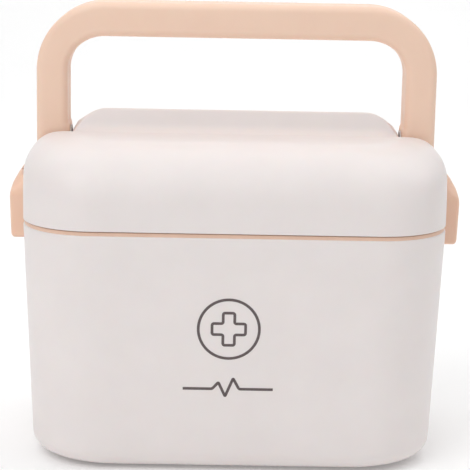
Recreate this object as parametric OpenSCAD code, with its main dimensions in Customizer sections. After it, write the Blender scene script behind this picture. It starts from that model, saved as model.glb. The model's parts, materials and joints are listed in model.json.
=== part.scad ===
// Medicine box: drafted body, rear-hinged lid with a fold-back carrying handle, side latches and a lift-out tray.
// Millimetres, +Z up, -Y is the front. The origin is the middle of the base, on the table.

/* [Body] */
// Width of the body at its rim
body_w = 248; // [230:1:270]
// Depth of the body at its rim
body_d = 168; // [160:1:180]
// Height of the body rim above the table
rim_z = 141.5; // [125:0.5:160]
// How far each wall leans in between the rim and the base
draft_in = 5; // [2:0.5:8]
// Corner radius of the body and the lid, seen from above
corner_r = 42; // [34:1:48]
// Rounding between the walls and the underside
base_round = 12; // [6:1:16]
// Wall thickness of the body and the lid
wall = 2.5; // [2:0.1:3]
// Floor thickness of the body
floor_t = 3; // [2.5:0.1:4]
// Width of the inner shelf that carries the tray
shelf_w = 8.5; // [7:0.5:10]
// Radius of a rubber foot
foot_r = 8; // [6:0.5:10]
// Height that a foot stands out below the body
foot_out = 1.5; // [1:0.1:3]
// Depth of a foot's recess in the underside
foot_in = 1; // [0.5:0.1:1.5]
// Distance of a foot's centre inside the body's left or right side
foot_side_in = 42; // [38:1:60]
// Distance of a foot's centre inside the body's front or rear side
foot_end_in = 32; // [30:1:50]

/* [Rim seal] */
// Thickness of the band that shows between the body and the lid
band_t = 1.7; // [1.2:0.1:2.5]
// Dark gap between the band and the lid
seam_gap = 0.8; // [0.5:0.1:1.2]
// Height of the lip that stands up inside the lid
lip_h = 5; // [3:0.5:7]
// Thickness of that lip
lip_t = 1.4; // [1:0.1:2]
// Gap between that lip and the lid's wall
lip_gap = 0.5; // [0.4:0.1:1]

/* [Lid] */
// Height of the lid's front part over the lid's lower edge
lid_h = 47; // [42:1:55]
// Height of the upright part of the lid's front wall
lid_straight = 12.5; // [8:0.5:18]
// How far the front shoulder curves back
shoulder_d = 37; // [30:1:40]
// Radius of the shoulder on the left and right
shoulder_side = 20; // [14:1:24]
// Height of the ledge that the folded handle lies on
ledge_h = 23; // [20:1:25]
// Rounding along the ledge's outer edge
ledge_round = 6; // [3:0.5:8]
// Height of the raised middle's crisp front edge
hump_h = 60.5; // [56:0.5:66]
// Height of the raised middle at its rear end
hump_back_h = 43.5; // [38:0.5:46]
// Gap between the raised middle and an arm of the handle
hump_gap = 1; // [0.8:0.1:2]
// Width that each slanted side of the raised middle takes at the front
hump_slant_w = 16; // [13:1:25]
// Steepness of the raised middle's slanted sides, in degrees
hump_side_a = 52; // [45:1:65]
// Plan radius of the raised middle's rear corners
hump_corner_r = 20; // [18:1:26]
// Radius between the raised middle's top and its slanted sides
hump_edge_r = 7; // [4:0.5:12]
// Distance from the handle back to the riser's top edge
riser_set = 6; // [4:0.5:10]
// How far the riser leans back over its height
riser_run = 8; // [4:0.5:12]
// Radius of the fillet at the riser's foot
riser_foot_r = 6; // [3:0.5:8]
// Distance of that fillet's ends inside the raised middle's sides
riser_end_in = 10; // [6:1:16]

/* [Handle] */
// Height of the handle's pivot over the lid's lower edge
pivot_h = 39.5; // [38:0.5:42]
// Height of the top of the upright handle over the lid's lower edge
handle_h = 123.5; // [120:0.5:126]
// Thickness of the handle's bar and arms
grip_t = 19.4; // [18:0.2:21]
// Depth of the handle from front to back
grip_d = 29; // [26:0.5:31]
// Distance of an arm's outer face inside the body's side
arm_side_in = 4.6; // [3:0.2:7]
// Outer radius of the handle's corners
grip_corner = 41; // [35:1:45]
// Rounding along the handle's edges
grip_round = 4.5; // [2:0.5:7]
// Wall of the handle's two shells
grip_wall = 2.4; // [1.8:0.1:3]
// Radius of a pivot pin
pivot_r = 4; // [3:0.25:5]
// Wall that an arm keeps outside the pivot pin's end
pin_cover = 3.5; // [2:0.5:5]
// Length of the pivot pin inside its boss in the lid
pin_tail = 3; // [2.6:0.1:4]
// Radius of the bosses around the pivot
boss_r = 9; // [7.5:0.5:10]
// Depth of the boss inside the lid's wall
boss_deep = 3; // [2:0.5:5]
// Thickness of the rib under that boss
boss_rib_t = 2.4; // [2:0.1:3]
// Thickness of a pivot clip
clip_t = 1; // [0.8:0.1:1.4]
// Width of a pivot clip's ring outside the pin
clip_w = 2.6; // [2:0.1:3]
// Depth of the groove that the clip sits in
groove_d = 0.8; // [0.6:0.1:1]
// Distance of the bar's outer screws inside the arms
screw_in = 52; // [42:1:70]
// Height of the arms' screws over the pivot
screw_up = 30; // [22:1:40]
// Radius of a handle screw
screw_r = 1.5; // [1.2:0.1:1.8]
// Length of a screw's thread in the front shell
screw_bite = 8.5; // [6:0.5:10]
// Radius of a screw's head
screw_head_r = 2.7; // [2.4:0.1:3.2]
// Height of a screw's head
screw_head_h = 2; // [1.5:0.1:2.5]
// Depth of a screw head's seat below the rear face
screw_seat = 4.5; // [3:0.5:6]
// Wall around a screw head's seat
screw_wall = 1.5; // [1.2:0.1:2]

/* [Latches] */
// Height of a latch below the lid's lower edge
latch_down = 16.2; // [14:0.2:20]
// Height of a latch over the lid's lower edge
latch_up = 22.5; // [20:0.5:25]
// Height of the bend in a latch's outer face, over the lid's lower edge
latch_bend = 12; // [8:0.5:13]
// How far a latch stands out from the body's side
latch_proud = 11; // [10:0.5:14]
// How far a latch's outer face leans in, from the lid's lower edge to the latch's lower edge
latch_lean = 0.8; // [0.4:0.1:2]
// Width of a latch, front to back
latch_w = 56; // [44:1:64]
// Width of a latch at its top
latch_top_w = 46; // [36:1:50]
// Distance of a latch's pin below the latch's top
latch_pin_down = 5.6; // [5.2:0.1:6]
// Distance of a latch's pin outside the body's side
latch_pin_side = 3.8; // [3.7:0.1:4.4]
// Distance of the latch's top edge outside its pin
latch_peak = 1.4; // [1:0.1:2]
// Width of the flat along the latch's top edge
latch_top_t = 0.8; // [0.6:0.1:1]
// Rounding along the latch's lower edge
latch_edge = 3; // [2:0.5:4]
// Wall of a latch
latch_wall = 2.2; // [1.8:0.1:2.6]
// Radius of a latch pin
latch_pin_r = 1.2; // [1:0.1:1.4]
// Half the length of a latch pin
latch_pin_half = 18; // [16:0.5:19]
// Depth of the solid cheeks around the pin, below it
cheek_drop = 9; // [6:0.5:12]
// Half the width of the lid's ear that carries the pin
ear_half = 10; // [8:0.5:12]
// Radius of that ear around the pin
ear_r = 2.3; // [2.2:0.1:2.5]
// Height of that ear's root below the pin
ear_drop = 12; // [9:0.5:13]
// How far the keeper rib stands out from the body
keeper_out = 1.3; // [1:0.1:1.4]
// Height of the keeper rib's crest below the rim
keeper_down = 8; // [6:0.5:12]
// Height of the keeper rib
keeper_h = 5; // [3:0.5:7]
// Half the length of the keeper rib
keeper_half = 20; // [14:1:24]

/* [Rear hinges] */
// Distance of a hinge's middle inside the body's side
hinge_side_in = 58; // [57:1:75]
// Length of one hinge
hinge_len = 42; // [30:1:50]
// Distance of the hinge axis behind the rear wall
hinge_back = 4; // [3.9:0.1:5]
// Outer radius of a hinge knuckle
knuckle_r = 3.5; // [3:0.1:3.6]
// Height of a knuckle's gusset on the rear wall
gusset_h = 14; // [8:1:20]
// Radius of a hinge pin
hinge_pin_r = 1.5; // [1.2:0.1:1.7]

/* [Tray and dividers] */
// Depth of the tray below the rim
tray_deep = 40; // [30:1:50]
// Wall of the tray
tray_wall = 2; // [1.6:0.1:2.5]
// Height of the tray's grip over the rim
grip_up = 26; // [24:1:30]
// Half the width of the tray's grip
grip_half = 46; // [42:1:60]
// Radius of the grip's upper corners
grip_corner_r = 14; // [8:1:18]
// Half the length of the finger slot, without its round ends
slot_half = 26; // [20:1:32]
// Radius of the finger slot's round ends
slot_r = 6.5; // [5:0.5:7]
// Height of the grip over the finger slot
slot_over = 8; // [6:0.5:9]
// Distance of the tray's cross walls from the middle
tray_cell_x = 38; // [30:1:50]
// Place of the tray's loose dividers, from the middle
tray_divider_x = 58; // [45:1:70]
// Place of the divider in the body, from the middle
lower_divider_x = 25; // [0:1:60]
// Gap between the divider in the body and the tray above it
lower_divider_gap = 7.2; // [2:0.2:20]
// Thickness of the loose dividers
divider_t = 1.8; // [1.4:0.1:2.2]
// Height of the tray's rim over the dividers
divider_down = 5; // [3:0.5:8]
// Radius of the finger notch in a tray divider
divider_notch_r = 9; // [6:0.5:12]
// Thickness of the ribs that guide a divider
guide_t = 1.6; // [1.2:0.1:2]
// Length of a guide rib in the tray
guide_len = 4; // [3:0.5:6]
// Distance that a guide rib reaches in from the body's outer face
guide_in = 7; // [6:0.5:9]

/* [Clearances] */
// Radial running clearance of a pin that turns
run_c = 0.06; // [0.03:0.01:0.1]
// Radial clearance of a pin pressed into its hole
press_c = 0.01; // [0.005:0.005:0.02]
// Gap between faces that move past each other
face_c = 0.7; // [0.4:0.1:1]
// Gap between two knuckles of one hinge
knuckle_c = 0.3; // [0.2:0.1:0.6]
// Gap between a latch and the crest of its keeper rib
snap_c = 0.3; // [0.2:0.05:0.6]
// Gap around pieces that drop into their seats
drop_c = 0.4; // [0.3:0.1:0.6]
// Gap between a loose divider and its guides, its floor or its wall
guide_c = 0.3; // [0.2:0.1:0.5]
// Gap around a foot, and on both sides of a clip in its groove
seat_c = 0.1; // [0.05:0.05:0.2]
// Radial clearance of a screw in the rear shell
screw_c = 0.2; // [0.1:0.05:0.3]
// Gap between the folded handle and the raised middle's rear end
fold_c = 2; // [1:0.5:4]

/* [Hidden] */
$fn = 64;

white = [0.93, 0.91, 0.90];
peach = [0.93, 0.80, 0.72];
steel = [0.72, 0.73, 0.75];
dark_rubber = [0.35, 0.33, 0.32];

eps = 0.02;
arc_n = 9;
half_w = body_w / 2;
half_d = body_d / 2;
lid_z = rim_z + band_t + seam_gap;
shelf_t = floor_t;
foot_x = half_w - foot_side_in;
foot_y = half_d - foot_end_in;

// Rear hinge: its axis runs along X at the height of the seam.
hinge_x = half_w - hinge_side_in;
hinge_y = half_d + hinge_back;
hinge_z = rim_z + (band_t + seam_gap) / 2;
knuckle_len = hinge_len / 3;

// Handle: its pivot axis runs along X through the middle of the box.
pivot_z = lid_z + pivot_h;
grip_z = lid_z + handle_h - grip_t / 2;
arm_out = half_w - arm_side_in;
arm_x = arm_out - grip_t / 2;
arm_in = arm_out - grip_t;
corner_mid = grip_corner - grip_t / 2;
screw_x = arm_x - screw_in;
notch_y = -(grip_d / 2 + face_c);
pin_end = arm_out - pin_cover;

// Raised middle of the lid, between the handle's arms.
hump_half = arm_in - hump_gap;
hump_top_half = hump_half - hump_slant_w;
hump_back_y = grip_z - grip_t / 2 - pivot_z - fold_c;
riser_top_y = notch_y + riser_set;
boss_end = hump_half - wall - boss_deep;
pin_in = boss_end - pin_tail;
overlap = 1;

// Latch: its pin runs along Y near the top of the latch.
latch_out = half_w + latch_proud;
latch_x = half_w + latch_pin_side;
latch_pin_z = lid_z + latch_up - latch_pin_down;
keeper_z = rim_z - keeper_down;
latch_in = half_w - wall_lean(keeper_z) + keeper_out + snap_c;

// Tray: it stands on the body's inner shelf, inside the lip of the rim seal.
lip_in = wall + lip_gap + lip_t;
flange_in = lip_in + drop_c;
tub_in = shelf_w + drop_c;
flange_t = tray_wall;
tub_floor = rim_z - tray_deep;

// Loose divider in the body: it stands on the floor and ends below the tray.
lower_divider_z = foot_out + floor_t + guide_c;
lower_divider_h = tub_floor - lower_divider_gap - lower_divider_z;

// How far the body's wall has leaned in at height z.
function wall_lean(z) = draft_in * (rim_z - z) / (rim_z - foot_out);

// Corner arc of a rounded rectangle, from angle a, around the point c.
function arc(c, r, a, n = arc_n) = [for (i = [0:n]) c + r * [cos(a + 90 * i / n), sin(a + 90 * i / n)]];

// Rounded rectangle with its own front and rear edge.
function plan(hx, front, back, r) = concat(
    arc([hx - r, back - r], r, 0),
    arc([r - hx, back - r], r, 90),
    arc([r - hx, front + r], r, 180),
    arc([hx - r, front + r], r, 270)
);

// Outline lifted to height z.
function at(z, outline) = [for (p = outline) [p.x, p.y, z]];

// Closed skin through rings of equally many points, from the lowest ring up.
module loft(rings) {
    n = len(rings[0]);
    top = (len(rings) - 1) * n;
    sides = [
        for (k = [0:len(rings) - 2], i = [0:n - 1])
            let (a = k * n + i, b = k * n + (i + 1) % n)
                each [[a, a + n, b + n], [a, b + n, b]]
    ];
    polyhedron(
        [for (ring = rings) each ring],
        concat([[for (i = [0:n - 1]) i]], [[for (i = [n - 1:-1:0]) top + i]], sides)
    );
}

// Thin slice of a form at height z.
module slice(z, points) {
    translate([0, 0, z])
        linear_extrude(eps)
            polygon(points);
}

// Rounded rectangle with true arcs, inset from the rim's outline.
module rim_outline(inset) {
    r = corner_r - inset;
    square([2 * (half_w - inset - r), 2 * (half_d - inset)], center = true);
    square([2 * (half_w - inset), 2 * (half_d - inset - r)], center = true);
    for (x = [-1, 1], y = [-1, 1])
        translate([x * (half_w - inset - r), y * (half_d - inset - r)])
            circle(r);
}

// Closed band between two insets of the rim's outline.
module rim_band(z, height, inset, width) {
    translate([0, 0, z])
        linear_extrude(height)
            difference() {
                rim_outline(inset);
                rim_outline(inset + width);
            }
}

// Drafted tub of the body, with its walls moved in by t and its floor moved up by up.
module body_form(t, up) {
    low = foot_out + up;
    r = base_round - t;
    function ring(z, inset) =
        at(z, plan(half_w - inset, inset - half_d, half_d - inset, corner_r - t));
    loft(concat(
        [for (a = [90:-15:0]) let (z = low + r * (1 - sin(a))) ring(z, t + wall_lean(z) + r * (1 - cos(a)))],
        [ring(rim_z, t)]
    ));
}

module foot_recess(x, y) {
    translate([x, y, 0])
        cylinder(r = foot_r + seat_c, h = foot_out + foot_in);
}

// Knuckle with a gusset to the wall; up is 1 for the lid and -1 for the body.
module knuckle(x, up) {
    length = knuckle_len - knuckle_c;
    in_wall = -hinge_back - wall / 2;
    seat = up * ((band_t + seam_gap) / 2 + wall / 2);
    translate([x - length / 2, hinge_y, hinge_z])
        rotate([90, 0, 90]) {
            cylinder(r = knuckle_r, h = length);
            linear_extrude(length)
                polygon([
                    [in_wall, seat], [in_wall, up * gusset_h], [-hinge_back, up * gusset_h],
                    [knuckle_r, 0], [-knuckle_r * 0.7, 0], [-hinge_back, seat],
                ]);
        }
}

module hinge_bore(x, c) {
    translate([x - hinge_len, hinge_y, hinge_z])
        rotate([0, 90, 0])
            cylinder(r = hinge_pin_r + c, h = 2 * hinge_len);
}

// Pair of guide ribs that hold the loose divider against the front or the rear wall.
module divider_guides(side) {
    for (x = [-1, 1])
        translate([lower_divider_x + x * ((divider_t + guide_t) / 2 + guide_c), side * (half_d - guide_in), 0])
            translate([-guide_t / 2, -guide_in / 2, foot_out])
                cube([guide_t, guide_in, floor_t + lower_divider_h]);
}

module body_shell() {
    color(white)
    difference() {
        union() {
            difference() {
                body_form(0, 0);
                body_form(wall, floor_t);
                translate([0, 0, rim_z])
                    linear_extrude(overlap)
                        rim_outline(-overlap);
            }
            rim_band(rim_z - shelf_t, shelf_t, wall / 2, shelf_w - wall / 2);
            intersection() {
                body_form(wall / 2, 0);
                union() {
                    divider_guides(-1);
                    divider_guides(1);
                }
            }
            for (side = [-1, 1]) {
                for (k = [-1, 1])
                    knuckle(side * hinge_x + k * knuckle_len, -1);
                keeper(side);
            }
        }
        for (side = [-1, 1])
            hinge_bore(side * hinge_x, press_c);
        for (x = [-1, 1], y = [-1, 1])
            foot_recess(x * foot_x, y * foot_y);
    }
}

// Ridged rib under the rim that a latch snaps past.
module keeper(side) {
    root = wall / 2;
    translate([side * (half_w - wall_lean(keeper_z) - root), -keeper_half, keeper_z])
        rotate([-90, 0, 0])
            linear_extrude(2 * keeper_half)
                polygon([
                    [0, -keeper_h / 2], [side * root, -keeper_h / 2], [side * (root + keeper_out), 0],
                    [side * root, keeper_h / 2], [0, keeper_h / 2],
                ]);
}

module rim_seal() {
    color(peach)
    union() {
        rim_band(rim_z, band_t, 0, lip_in);
        rim_band(rim_z, band_t + seam_gap + lip_h, wall + lip_gap, lip_t);
    }
}

// Loose plate that parts the bottom of the box, shaped to the drafted walls.
module lower_divider() {
    low = lower_divider_z;
    function reach(z) = half_d - wall - 2 * guide_c - wall_lean(z);
    cut = base_round - wall + face_c;
    color(peach)
    translate([lower_divider_x - divider_t / 2, 0, 0])
        rotate([90, 0, 90])
            linear_extrude(divider_t)
                polygon([
                    [cut - reach(low), low], [reach(low) - cut, low],
                    [reach(low + cut), low + cut], [reach(low + lower_divider_h), low + lower_divider_h],
                    [-reach(low + lower_divider_h), low + lower_divider_h], [-reach(low + cut), low + cut],
                ]);
}

module foot(x, y) {
    color(dark_rubber)
    translate([x * foot_x, y * foot_y, 0])
        cylinder(r = foot_r, h = foot_out + foot_in);
}

module hinge_pin(side) {
    color(steel)
    translate([side * hinge_x - hinge_len / 2, hinge_y, hinge_z])
        rotate([0, 90, 0])
            cylinder(r = hinge_pin_r, h = hinge_len);
}

// Height at which a form of the lid starts: a hollow one starts below the lid's edge and opens it.
function hollow_start(t) = t > 0 ? -overlap : 0;

// Front part of the lid as a full dome, before it is cut off behind the shoulder.
// Each face is moved in by t.
module dome(t) {
    rise = lid_h - lid_straight - t;
    side_z = lid_h - shoulder_side;
    side_r = shoulder_side - t;
    function side_in(z) = z <= side_z ? 0 : side_r - sqrt(max(0, pow(side_r, 2) - pow(z - side_z, 2)));
    function ring(z, side, front) =
        at(lid_z + z, plan(half_w - side, front - half_d, half_d - front, corner_r - t));
    loft(concat(
        [ring(hollow_start(t), t, t)],
        [for (a = [0:10:90]) let (z = lid_straight + rise * sin(a))
            ring(z, t + side_in(z), t + (shoulder_d - t) * (1 - cos(a)))]
    ));
}

// Low block of the lid, up to the ledge, with a rounded outer edge.
module ledge_block(t) {
    r = ledge_round - t / 2;
    function ring(z, back) =
        at(lid_z + z, plan(half_w - back, back - half_d, half_d - back, corner_r - back));
    loft(concat(
        [ring(hollow_start(t), t)],
        [for (a = [0:15:90]) ring(ledge_h - t - r * (1 - sin(a)), t + r * (1 - cos(a)))]
    ));
}

// Front face of the raised middle at height z over the lid's lower edge: it leans back.
function riser_y(z) = riser_top_y - riser_run * (hump_h - z) / (hump_h - pivot_h);

// Raised middle of the lid: crisp front edge, slanted sides, top sloping down to the rear.
module hump(t) {
    front_y = riser_top_y + t;
    foot_front = riser_top_y - riser_run + t;
    back_y = hump_back_y - t;
    half = hump_half - t;
    top_z = hump_h - t;
    back_z = hump_back_h - t;
    cut_x = hump_top_half - t / 2;
    tangent = hump_edge_r * tan(hump_side_a / 2);
    top_in = half - hump_corner_r - overlap;
    foot_drop = (half - cut_x - tangent) * tan(hump_side_a);
    slope = atan2(top_z - back_z, back_y - front_y);
    length = norm([top_z - back_z, back_y - front_y]);
    profile = concat(
        [for (a = [0:11:hump_side_a]) [cut_x + hump_edge_r * sin(a), top_z - hump_edge_r * (1 - cos(a))]],
        [[half, top_z - foot_drop]]
    );
    hull() {
        slice(lid_z + overlap + t, plan_rear(half, foot_front, back_y, hump_corner_r - t));
        for (p = profile)
            translate([-p.x, riser_y(p.y + t) + t, lid_z + p.y - eps])
                cube([2 * p.x, eps, eps]);
        translate([0, front_y, lid_z + top_z - eps])
            rotate([-slope, 0, 0])
                linear_extrude(eps)
                    polygon(concat([[-cut_x, 0], [cut_x, 0]],
                        arc([top_in, length - hump_corner_r], hump_corner_r, 0),
                        arc([-top_in, length - hump_corner_r], hump_corner_r, 90)));
    }
}

// Plan outline with square front corners and round rear corners.
function plan_rear(hx, front, back, r) = concat(
    [[-hx, front], [hx, front]],
    arc([hx - r, back - r], r, 0),
    arc([r - hx, back - r], r, 90)
);

// Everything in front of the plane y, as a cutting block.
module front_of(y) {
    translate([-body_w, y - body_d, 0])
        cube([2 * body_w, body_d, 2 * lid_z]);
}

// Ear on the lid's side wall that carries a latch pin.
module latch_ear(side) {
    in_wall = latch_pin_side + wall / 2;
    root_top = lid_z + ledge_h - ledge_round - latch_pin_z;
    translate([side * latch_x, ear_half, latch_pin_z])
        rotate([90, 0, 0]) {
            cylinder(r = ear_r, h = 2 * ear_half);
            linear_extrude(2 * ear_half)
                polygon([
                    [-side * in_wall, -ear_drop], [-side * latch_pin_side, -ear_drop],
                    [side * ear_r * 0.8, -ear_r * 0.6], [-side * ear_r * 0.7, ear_r * 0.7],
                    [-side * in_wall, root_top],
                ]);
        }
}

// Concave fillet between the front part's top and the riser behind it.
module riser_fillet() {
    r = riser_foot_r;
    half = hump_half - riser_end_in;
    lean = atan2(riser_run, hump_h - pivot_h);
    touch_z = lid_h + r * (1 - sin(lean));
    touch_y = riser_y(touch_z);
    middle = [touch_y - r * cos(lean), lid_h + r];
    translate([-half, 0, lid_z])
        rotate([90, 0, 90])
            linear_extrude(2 * half)
                difference() {
                    polygon([
                        [middle.x, lid_h - overlap], [touch_y + r / 2, lid_h - overlap],
                        [touch_y + r / 2, touch_z], [touch_y, touch_z], middle,
                    ]);
                    translate(middle)
                        circle(r);
                }
}

// Passage inside the lid, from the front part's hollow to the one behind it.
module passage() {
    half = hump_half - wall - overlap;
    length = 2 * riser_set;
    translate([-half, notch_y - wall - length / 2, lid_z])
        cube([2 * half, length, lid_h - wall - overlap]);
}

module lid_shell() {
    color(white)
    difference() {
        union() {
            intersection() {
                dome(0);
                front_of(notch_y);
            }
            difference() {
                ledge_block(0);
                front_of(notch_y);
            }
            hump(0);
            riser_fillet();
            for (side = [-1, 1]) {
                knuckle(side * hinge_x, 1);
                latch_ear(side);
            }
        }
        difference() {
            union() {
                intersection() {
                    dome(wall);
                    front_of(notch_y - wall);
                }
                difference() {
                    ledge_block(wall);
                    front_of(notch_y - wall);
                }
                hump(wall);
                passage();
            }
            for (side = [-1, 1])
                pivot_boss(side);
        }
        for (side = [-1, 1]) {
            hinge_bore(side * hinge_x, run_c);
            pivot_bore(side, press_c);
            translate([side * latch_x, -latch_w / 2, latch_pin_z])
                rotate([-90, 0, 0])
                    cylinder(r = latch_pin_r + press_c, h = latch_w);
        }
    }
}

// Boss inside the lid that the pivot pin is pressed into.
module pivot_boss(side) {
    translate([side * boss_end, 0, pivot_z])
        rotate([0, side * 90, 0])
            cylinder(r = boss_r, h = hump_half - boss_end);
    translate([side > 0 ? boss_end : -hump_half, -boss_rib_t / 2, lid_z + ledge_h - wall])
        cube([hump_half - boss_end, boss_rib_t, pivot_h - ledge_h]);
}

module pivot_bore(side, c) {
    translate([side * pin_in, 0, pivot_z])
        rotate([0, side * 90, 0])
            cylinder(r = pivot_r + c, h = pin_end + drop_c - pin_in);
}

// Pivot pin with a groove for its clip at the inner end.
module pivot_pin(side) {
    groove_h = clip_t + 2 * seat_c;
    color(steel)
    translate([side * pin_in, 0, pivot_z])
        rotate([0, side * 90, 0])
            difference() {
                cylinder(r = pivot_r, h = pin_end - pin_in);
                translate([0, 0, pin_tail - knuckle_c - clip_t - seat_c])
                    difference() {
                        cylinder(r = pivot_r + overlap, h = groove_h);
                        cylinder(r = pivot_r - groove_d, h = groove_h);
                    }
            }
}

// Clip in that groove, open on one side.
module pivot_clip(side) {
    slot = pivot_r - groove_d;
    color(steel)
    translate([side * (boss_end - clip_t - knuckle_c), 0, pivot_z])
        rotate([0, side * 90, 0])
            difference() {
                cylinder(r = pivot_r + clip_w, h = clip_t);
                cylinder(r = pivot_r - groove_d + press_c, h = clip_t);
                translate([-slot / 2, 0, 0])
                    cube([slot, pivot_r + clip_w + overlap, clip_t]);
            }
}

module pivot_washer(side) {
    color(steel)
    translate([side * (hump_half + hump_gap * 0.2), 0, pivot_z])
        rotate([0, side * 90, 0])
            difference() {
                cylinder(r = boss_r, h = hump_gap * 0.6);
                cylinder(r = pivot_r + run_c, h = hump_gap * 0.6);
            }
}

module latch_pin(side) {
    color(steel)
    translate([side * latch_x, -latch_pin_half, latch_pin_z])
        rotate([-90, 0, 0])
            cylinder(r = latch_pin_r, h = 2 * latch_pin_half);
}

// Section of the handle: grip_t across, grip_d from front to back, with all faces moved in by t.
module grip_section(t) {
    a = grip_t / 2 - t;
    b = grip_d / 2 - t;
    r = max(grip_round - t, 1);
    square([2 * (a - r), 2 * b], center = true);
    square([2 * a, 2 * (b - r)], center = true);
    for (x = [-1, 1], y = [-1, 1])
        translate([x * (a - r), y * (b - r)])
            circle(r, $fn = 32);
}

// Whole handle as one bent bar with round arm ends, all faces moved in by t.
module grip_form(t) {
    corner_z = grip_z - corner_mid;
    for (side = [-1, 1]) {
        translate([side * arm_x, 0, pivot_z])
            linear_extrude(corner_z - pivot_z)
                grip_section(t);
        translate([side * (arm_x - corner_mid), 0, corner_z])
            mirror([side > 0 ? 0 : 1, 0, 0])
                rotate([90, 0, 0])
                    rotate_extrude(angle = 90)
                        translate([corner_mid, 0])
                            grip_section(t);
        translate([side * arm_x, 0, pivot_z])
            rotate([0, 90, 0])
                rotate_extrude()
                    intersection() {
                        rotate(90)
                            grip_section(t);
                        translate([0, -grip_t])
                            square([grip_d, 2 * grip_t]);
                    }
    }
    translate([corner_mid - arm_x, 0, grip_z])
        rotate([0, 90, 0])
            linear_extrude(2 * (arm_x - corner_mid))
                grip_section(t);
}

// Places of the five screws, as [x, z].
screw_spots = [
    [-screw_x, grip_z], [0, grip_z], [screw_x, grip_z],
    [-arm_x, pivot_z + screw_up], [arm_x, pivot_z + screw_up],
];

// Round column along Y at every screw, from y0 to y1.
module screw_columns(r, y0, y1) {
    for (p = screw_spots)
        translate([p.x, y1, p.y])
            rotate([90, 0, 0])
                cylinder(r = r, h = y1 - y0);
}

// Solid bosses around the two pivots, inside the arms.
module arm_bosses() {
    for (side = [-1, 1])
        translate([side * (arm_in + overlap), 0, pivot_z])
            rotate([0, side * 90, 0])
                cylinder(r = boss_r, h = grip_t - 2 * overlap);
}

module handle_hollow() {
    difference() {
        grip_form(0);
        difference() {
            grip_form(grip_wall);
            screw_columns(screw_head_r + drop_c + screw_wall, -grip_d, grip_d);
            arm_bosses();
        }
        for (side = [-1, 1])
            pivot_bore(side, run_c);
    }
}

module handle_front() {
    color(peach)
    difference() {
        handle_hollow();
        translate([-body_w, 0, 0])
            cube([2 * body_w, body_d, 3 * rim_z]);
        screw_columns(screw_r + press_c, -screw_bite - drop_c, overlap);
    }
}

module handle_back() {
    color(peach)
    difference() {
        handle_hollow();
        translate([-body_w, -body_d, 0])
            cube([2 * body_w, body_d, 3 * rim_z]);
        screw_columns(screw_r + screw_c, -overlap, grip_d);
        screw_columns(screw_head_r + drop_c, grip_d / 2 - screw_seat, grip_d);
    }
}

module handle_screws() {
    head_y = grip_d / 2 - screw_seat;
    color(steel)
    for (p = screw_spots)
        translate([p.x, head_y, p.y])
            rotate([90, 0, 0])
                difference() {
                    union() {
                        cylinder(r = screw_r, h = head_y + screw_bite);
                        translate([0, 0, -screw_head_h])
                            cylinder(r = screw_head_r, h = screw_head_h);
                    }
                    translate([0, 0, -screw_head_h])
                        for (a = [0, 90])
                            rotate(a)
                                cube([screw_head_r * 1.2, screw_head_r * 0.3, screw_head_h], center = true);
                }
}

// Outer form of a latch on the right side, with every face but the inner one moved in by t.
// The top is low towards the lid, so that it clears the lid's wall when the latch swings out.
module latch_form(t) {
    bottom = lid_z - latch_down + t;
    shoulder = latch_up - 0.6 * latch_pin_down;
    top_x = latch_x + latch_peak;
    function share(z) = (z - latch_bend) / (latch_up - latch_bend);
    function slant_x(z) = latch_out + (top_x - latch_out) * share(z);
    function slant_w(z) = latch_w + (latch_top_w - latch_w) * share(z);
    function ring(inner, out, w) = [[inner, -w / 2], [out, -w / 2], [out, w / 2], [inner, w / 2]];
    function edge(lean, e) = ring(latch_in - t, latch_out - lean - t - e, latch_w - 2 * t - 2 * e);
    hull() {
        slice(bottom, edge(latch_lean, latch_edge));
        slice(bottom + latch_edge * 0.3, edge(latch_lean, latch_edge * 0.3));
        slice(bottom + latch_edge, edge(latch_lean, 0));
        slice(lid_z, edge(0, 0));
        slice(lid_z + latch_bend - t / 2, edge(0, 0));
        slice(lid_z + shoulder - t, ring(latch_in - t, slant_x(shoulder) - t, slant_w(shoulder) - 2 * t));
        if (t == 0)
            slice(lid_z + latch_up - eps, ring(top_x - latch_top_t, top_x, latch_top_w));
    }
}

// Latch on the right side; the left one is its mirror image.
module latch_right_form() {
    notch_half = ear_half + drop_c;
    notch_in = latch_in - overlap;
    bore_half = latch_pin_half + drop_c;
    difference() {
        latch_form(0);
        difference() {
            latch_form(latch_wall);
            latch_cheeks();
        }
        translate([notch_in, -notch_half, latch_pin_z - ear_drop - fold_c])
            cube([latch_x + ear_r * 0.3 - notch_in, 2 * notch_half, latch_up]);
        translate([latch_x, -notch_half, latch_pin_z])
            rotate([-90, 0, 0])
                cylinder(r = ear_r + drop_c, h = 2 * notch_half);
        translate([latch_x, -bore_half, latch_pin_z])
            rotate([-90, 0, 0])
                cylinder(r = latch_pin_r + run_c, h = 2 * bore_half);
    }
}

// Solid cheeks on both sides of the ear, around the ends of the pin.
module latch_cheeks() {
    cheek_w = latch_pin_half + latch_wall - ear_half;
    for (y = [-ear_half - cheek_w, ear_half])
        translate([latch_in, y, latch_pin_z - cheek_drop])
            cube([latch_proud, cheek_w, latch_up]);
}

module latch_right() {
    color(peach)
    latch_right_form();
}

module latch_left() {
    color(peach)
    mirror([1, 0, 0])
        latch_right_form();
}

// Guides for one loose divider in the rear half of the tray.
module tray_guides(x) {
    for (s = [-1, 1], y = [tray_wall / 2, half_d - tub_in - tray_wall - guide_len])
        translate([x + s * (divider_t / 2 + guide_c + guide_t / 2) - guide_t / 2, y, tub_floor])
            cube([guide_t, guide_len, tray_deep - divider_down]);
}

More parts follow.
